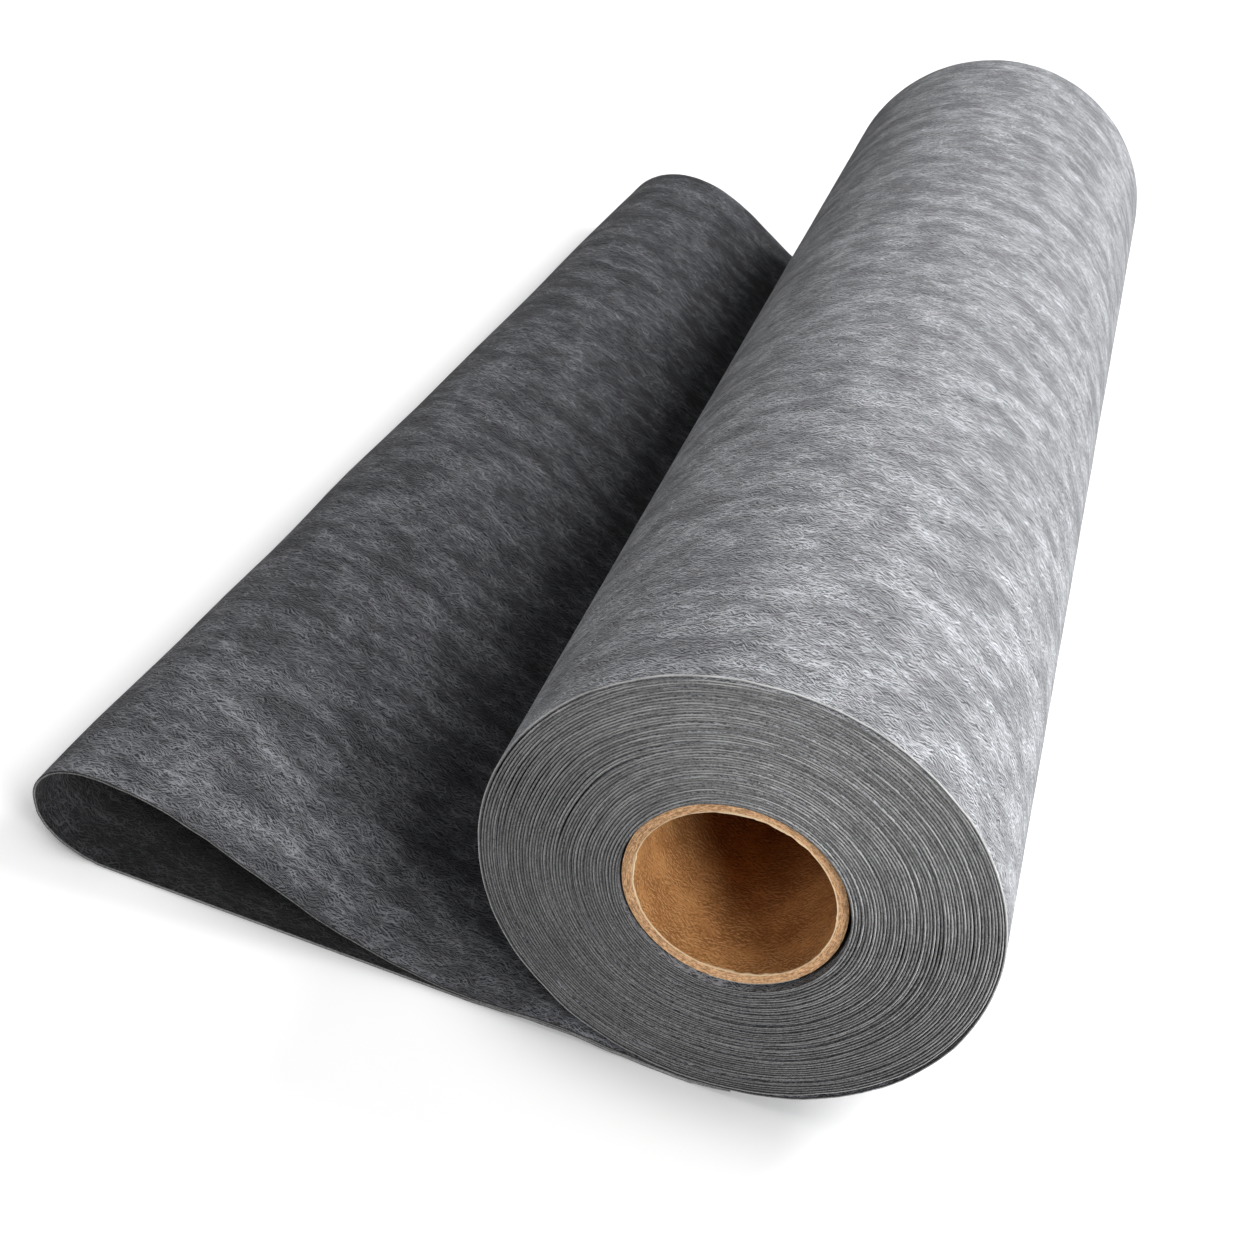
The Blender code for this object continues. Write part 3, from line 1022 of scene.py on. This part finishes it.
def make_cut_edge(title, fringe_grey, fringe_share, fringe_least, fold_shade_from=None):
    """The cut, from the outer face's light fringe to the dark side that faces the core.

    The fringe reaches fringe_share deep into the thickness, and comes and goes between fringe_least
    and all of it. It is partly a painted highlight. From the length that the last argument gives on,
    where the sheet lies in its fold, painted shade makes the fringe duller.
    """
    material, wiring, shader = new_material(title)
    depth = wiring.add("SeparateXYZ", {0: wiring.add("UVMap", uv_map="depth").outputs["UV"]})
    along, through = depth.outputs[0], depth.outputs[1]
    spot = wiring.add("TexCoord").outputs["Object"]
    grain = wiring.noise(spot, 900.0, 3.0, 0.65, "3D")
    streak = wiring.noise(wiring.join(wiring.math("MULTIPLY", along, 60.0),
                                      wiring.math("MULTIPLY", through, 3.0)), 1.0, 2.0)
    tone = wiring.noise(wiring.join(wiring.math("MULTIPLY", along, 7.0), 0.0), 1.0, 2.0)
    colour = wiring.mixed(wiring.between(grain, 0.30, 0.70), grey(0.070), grey(0.26))
    # The light fringe: partly the outer felt's own light grey, partly a painted highlight of the
    # cut's rounded edge
    fringe = wiring.between(through, 0.04, fringe_share, 1.0, 0.0)
    torn = wiring.between(streak, 0.36, 0.62, fringe_least, 1.0)
    pressed = wiring.between(tone, 0.36, 0.60, 0.5 + 0.5 * fringe_least, 1.0)
    fringe = wiring.math("MULTIPLY", fringe, wiring.math("MULTIPLY", torn, pressed))
    # Painted shade: inside the fold the fringe is made duller
    if fold_shade_from is not None:
        fringe_fold_shade = wiring.between(along, fold_shade_from, fold_shade_from + FRINGE_SHADE_FADE, 1.0, FRINGE_FOLD_SHADE)
        fringe = wiring.math("MULTIPLY", fringe, fringe_fold_shade)
    colour = wiring.mixed(fringe, colour, fringe_grey)
    colour = wiring.mixed(wiring.between(through, 0.58, 0.90, 0.0, 0.92), colour, grey(0.022))
    shade = wiring.between(tone, 0.30, 0.70, 0.85, 1.15)
    wiring.feed(shader.inputs["Base Color"], wiring.shaded(colour, shade))
    shader.inputs["Roughness"].default_value = 0.95
    shader.inputs["Specular IOR Level"].default_value = 0.2
    wiring.bump(shader, 0.5, 0.0003, grain)
    return material


rim_edge = make_cut_edge("rim_felt_edge", grey(0.80), 0.60, 0.7, float(SHEET_LEAVES_ROLL))
wound_edge_felt = make_cut_edge("wound_felt_edge", grey(0.60), 0.46, 0.15)
for piece, edge in ((loose_end, rim_edge), (winding, wound_edge_felt)):
    for finish in (light_fleece, charcoal_fleece, edge, inside_fleece):
        piece.data.materials.append(finish)
print("the sheet wears", [m.name for m in loose_end.data.materials])

# %% [markdown]
# ## Paper
#
# Core board is kraft paper: brown, with short fibres and small creases. The bore is smooth and
# darker, and the sawn end is lighter and fluffy, with its plies as fine lines. One brown for all
# would look like plastic. The functions that drew the strands and threads of the felt serve again
# here, in brown, for pulp fibres and creases: each fibre gets a painted light side and a painted
# dark side, and each crease is darkened as painted shade.

# %% Paper group
# Pulp fibres: seed; angle in degrees; length and spacing in metres
PULP_LAYERS = ((11, 4, 0.0060, 0.0015), (12, 30, 0.0050, 0.0017), (13, -34, 0.0050, 0.0017))
PULP_RANGE = 0.30
# Creases, drawn as threads: seed; angle; length, spacing and waviness; share that shows
CREASE_LAYER = (13, 78, 0.010, 0.0024, 0.0040, 0.24)


def make_paper_group():
    """Specks, fibres and creases of kraft paper at a place in metres."""
    tree, wiring, given, result = new_group(
        "kraft_paper",
        [("Place", "NodeSocketVector", (0, 0, 0))],
        ["Specks", "Fibres", "Creases", "Clouds"],
    )
    place = given.outputs["Place"]
    specks = wiring.noise(place, 650.0, 3.0, 0.65)
    # Painted light and shade: each pulp fibre gets a light side and a dark side, as if lamp light
    # fell across it
    fibre_light_and_shade = 0.0
    for layer in PULP_LAYERS:
        fibre_light_and_shade = wiring.math("ADD", fibre_light_and_shade, strand_layer(wiring, place, *layer)[1])
    fibre_light_and_shade = wiring.between(fibre_light_and_shade, -PULP_RANGE, PULP_RANGE)
    crease = fibre_layer(wiring, place, *CREASE_LAYER)
    clouds = wiring.noise(place, 45.0, 3.0, 0.6)
    wiring.feed_all(result, {"Specks": specks, "Fibres": fibre_light_and_shade, "Creases": crease,
                             "Clouds": clouds})
    return tree


paper = make_paper_group()
print("group", paper.name, "has", len(paper.nodes), "nodes")

# %% The bore of the core
KRAFT_DARK = (0.31, 0.135, 0.043, 1)
KRAFT_LIGHT = (0.60, 0.298, 0.106, 1)
# The pale of a pulp fibre's painted highlight
KRAFT_FIBRE_HIGHLIGHT = (0.72, 0.44, 0.21, 1)
# The dark of the painted shade in a crease
KRAFT_CREASE_SHADE = (0.11, 0.045, 0.016, 1)


def make_bore_board():
    """The bore's smooth brown paper, with fibres and small creases."""
    material, wiring, shader = new_material("kraft_bore")
    place = wiring.add("UVMap", uv_map="flat").outputs["UV"]
    sheet = use_group(wiring, paper, {"Place": place})
    ground = wiring.weighed((sheet["Specks"], 0.45), (sheet["Clouds"], 0.38),
                            (sheet["Fibres"], 0.17))
    colour = wiring.mixed(wiring.between(ground, 0.38, 0.62), KRAFT_DARK, KRAFT_LIGHT)
    # Painted highlight: pale where a fibre's lit side is strongest
    fibre_highlight = wiring.between(sheet["Fibres"], 0.72, 1.0, 0.0, 0.6)
    colour = wiring.mixed(fibre_highlight, colour, KRAFT_FIBRE_HIGHLIGHT)
    # Painted shade: the creases are darkened in colour, besides the dent that the bump gives them
    colour = wiring.mixed(wiring.math("MULTIPLY", sheet["Creases"], 0.60), colour, KRAFT_CREASE_SHADE)
    wiring.feed(shader.inputs["Base Color"], colour)
    wiring.feed(shader.inputs["Roughness"], wiring.between(sheet["Specks"], 0, 1, 0.62, 0.82))
    shader.inputs["Specular IOR Level"].default_value = 0.30
    height = wiring.weighed((sheet["Fibres"], 0.25), (sheet["Creases"], -1.0),
                            (sheet["Specks"], 0.6))
    wiring.bump(shader, 0.4, 0.0005, height)
    return material


bore_board = make_bore_board()
print("the bore wears", bore_board.name)

# %% The sawn end of the core
END_DARK = (0.38, 0.195, 0.088, 1)
END_LIGHT = (0.88, 0.555, 0.310, 1)
END_SEAM = (0.20, 0.100, 0.050, 1)
LIP_CREAM = (0.86, 0.67, 0.43, 1)
LIP_SHARE = 0.105
LIP_BLEND = 0.03


def core_polar(wiring, spot):
    """How far a point of the core lies from the axis, and the direction in which it lies."""
    across = wiring.vector("SUBTRACT", spot, (0.0, 0.0, AXIS_HEIGHT))
    across = wiring.vector("MULTIPLY", across, (1.0, 0.0, 1.0))
    radius = wiring.add("VectorMath", {0: across}, operation="LENGTH").outputs["Value"]
    direction = wiring.add("VectorMath", {0: across}, operation="NORMALIZE").outputs[0]
    return radius, direction


def make_sawn_board():
    """The cut end: streaks along the plies, dark seams between them and a pale inner lip."""
    material, wiring, shader = new_material("sawn_board")
    spot = wiring.add("TexCoord").outputs["Object"]
    radius, direction = core_polar(wiring, spot)
    depth = wiring.math("DIVIDE", wiring.math("SUBTRACT", radius, BORE_RADIUS), CORE_WALL)
    along = wiring.vector("MULTIPLY", direction, (14.0, 14.0, 14.0))
    along = wiring.vector("ADD", along, wiring.join(0.0, wiring.math("MULTIPLY", radius, 1500.0)))
    streaks = wiring.noise(along, 1.0, 3.0, 0.7, "3D")
    mottle = wiring.noise(spot, 700.0, 3.0, 0.65, "3D")
    wander = wiring.math("SUBTRACT", wiring.noise(spot, 260.0, 2.0, 0.5, "3D"), 0.5)
    ground = wiring.weighed((streaks, 0.62), (mottle, 0.38))
    colour = wiring.mixed(wiring.between(ground, 0.38, 0.62), END_DARK, END_LIGHT)
    moved = wiring.math("ADD", depth, wiring.math("MULTIPLY", wander, 0.10))
    ply = wiring.math("FRACT", wiring.math("MULTIPLY", moved, PLIES))
    seam = wiring.math("ABSOLUTE", wiring.math("SUBTRACT", ply, 0.5))
    seam = wiring.math("MULTIPLY", wiring.between(seam, 0.30, 0.50),
                       wiring.between(streaks, 0.40, 0.60, 0.75, 0.10))
    colour = wiring.mixed(seam, colour, END_SEAM)
    lip = wiring.math("ADD", depth, wiring.math("MULTIPLY", wander, 0.16))
    lip = wiring.between(lip, LIP_SHARE - LIP_BLEND, LIP_SHARE + LIP_BLEND, 0.9, 0.0)
    colour = wiring.mixed(lip, colour, LIP_CREAM)
    wiring.feed(shader.inputs["Base Color"], colour)
    shader.inputs["Roughness"].default_value = 0.85
    shader.inputs["Specular IOR Level"].default_value = 0.25
    wiring.bump(shader, 0.8, 0.0005, ground)
    return material


end_board = make_sawn_board()
for finish in (end_board, bore_board, bore_board):
    core.data.materials.append(finish)
print("the core wears", [m.name for m in core.data.materials])

# %% [markdown]
# ## The tape
#
# A strip of double-sided tape holds the first turn on the core. Hardly any of it shows, so its
# plain solid needs no finer shape. But it has a finish too: pale, slightly glossy, with the fine
# grain of its carrier.

# %% Tape
TAPE_DARK = (0.52, 0.50, 0.43, 1)
TAPE_LIGHT = (0.74, 0.72, 0.64, 1)


def make_tape_finish():
    """The carrier of the tape: grainy, and glossier than paper."""
    material, wiring, shader = new_material("tape_carrier")
    spot = wiring.add("TexCoord").outputs["Object"]
    grain = wiring.noise(spot, 700.0, 2.0, 0.5, "3D")
    colour = wiring.mixed(grain, TAPE_DARK, TAPE_LIGHT)
    wiring.feed(shader.inputs["Base Color"], colour)
    wiring.feed(shader.inputs["Roughness"], wiring.between(grain, 0.3, 0.7, 0.35, 0.55))
    return material


tape = frame["nodes"]["start_tape"]
tape.data.materials.clear()
tape.data.materials.append(make_tape_finish())
print("tape wears", tape.data.materials[0].name)

# %% [markdown]
# ## Which body each piece moves with
#
# The loose end stays on the floor. The winding, its core and the tape turn together. Parenting each
# piece by hand would do, but the frame knows its bodies: a piece is told which one it rides on, and
# the plain solid that it stands for is hidden.

# %% Riding and standing for
for piece, body, node, slot in (
    (loose_end, "loose_end", "membrane_loose_end", "fleece_sheet"),
    (winding, "roll", "membrane_winding", "fleece_turns"),
    (core, "roll", "core_tube", "core_paper"),
):
    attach(piece, body)
    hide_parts(node)

# %% [markdown]
# ## Floor and light
#
# The studio is plain: a pale floor that runs out of sight, an even pale sky and three large soft
# lamps. The strongest stands in front on the right and lights the cut end. One hangs high on the
# right, so that the roll shades the valley beside it. A weak one stands low in front on the left
# and fills the shadows of the cut end. Stronger lamps would turn the floor white, but bleach the
# light fleece too. So the floor glows for the camera alone, more and more with the distance from
# the roll. Where something stands close over the floor it hardly glows, so the shadow stays.

# %% Floor
FLOOR_SIZE = 30.0
FLOOR_GLOW = 0.63
FAR_FROM_ROLL = (1.0, 4.0)
CONTACT_REACH = 0.07
CONTACT_GLOW = 0.10
CONTACT_SAMPLES = 12


def make_floor():
    """A painted floor that keeps the shadow of the roll and ends in white."""
    bpy.ops.mesh.primitive_plane_add(size=FLOOR_SIZE)
    floor = bpy.context.active_object
    floor.name = "studio_floor"
    material, wiring, shader = new_material("floor_paint")
    shader.inputs["Base Color"].default_value = (0.80, 0.80, 0.80, 1)
    shader.inputs["Roughness"].default_value = 0.9
    shader.inputs["Specular IOR Level"].default_value = 0.0
    seen = wiring.add("LightPath").outputs["Is Camera Ray"]
    open_share = wiring.add("AmbientOcclusion", {"Distance": CONTACT_REACH},
                            samples=CONTACT_SAMPLES)
    spot = wiring.add("TexCoord").outputs["Object"]
    away = wiring.add("VectorMath", {0: spot}, operation="LENGTH").outputs["Value"]
    glow = wiring.between(away, *FAR_FROM_ROLL, FLOOR_GLOW, 1.0)
    glow = wiring.math("MULTIPLY", glow,
                       wiring.between(open_share.outputs["AO"], 0.30, 1.0, CONTACT_GLOW, 1.0))
    shader.inputs["Emission Color"].default_value = (1, 1, 1, 1)
    wiring.feed(shader.inputs["Emission Strength"], wiring.math("MULTIPLY", seen, glow))
    floor.data.materials.append(material)
    return floor


print("floor:", make_floor().dimensions[:2])

# %% Light
SKY_STRENGTH = 0.07
LAMP_AIM = Vector((0.0, 0.0, 0.1))
# Lamps: name; place and size in metres; power in watts
LAMPS = (
    ("key_lamp", (1.9, -1.95, 1.25), 1.2, 54.0),
    ("top_lamp", (1.25, 0.80, 2.20), 1.3, 50.0),
    ("left_lamp", (-1.7, -2.2, 0.9), 1.2, 12.0),
)


def make_sky():
    """A faint even light from all round, which the camera sees as white."""
    world = bpy.data.worlds.new("studio_sky")
    world.use_nodes = True
    bpy.context.scene.world = world
    wiring = Wiring(world.node_tree)
    background = world.node_tree.nodes["Background"]
    background.inputs["Color"].default_value = (1.0, 1.0, 1.0, 1)
    seen = wiring.add("LightPath").outputs["Is Camera Ray"]
    strength = wiring.between(seen, 0.0, 1.0, SKY_STRENGTH, 1.0)
    wiring.feed(background.inputs["Strength"], strength)


def make_lamp(title, place, size, power):
    """A round soft lamp that points at the roll."""
    data = bpy.data.lights.new(title, "AREA")
    data.shape = "DISK"
    data.size = size
    data.energy = power
    lamp = put_in_scene(title, data)
    lamp.location = place
    lamp.rotation_euler = (LAMP_AIM - Vector(place)).to_track_quat("-Z", "Y").to_euler()


make_sky()
for lamp_row in LAMPS:
    make_lamp(*lamp_row)
bpy.context.scene.view_settings.view_transform = "Standard"

# %% [markdown]
# ## The room of the solids
#
# What was made has to stay in the room of the solids.
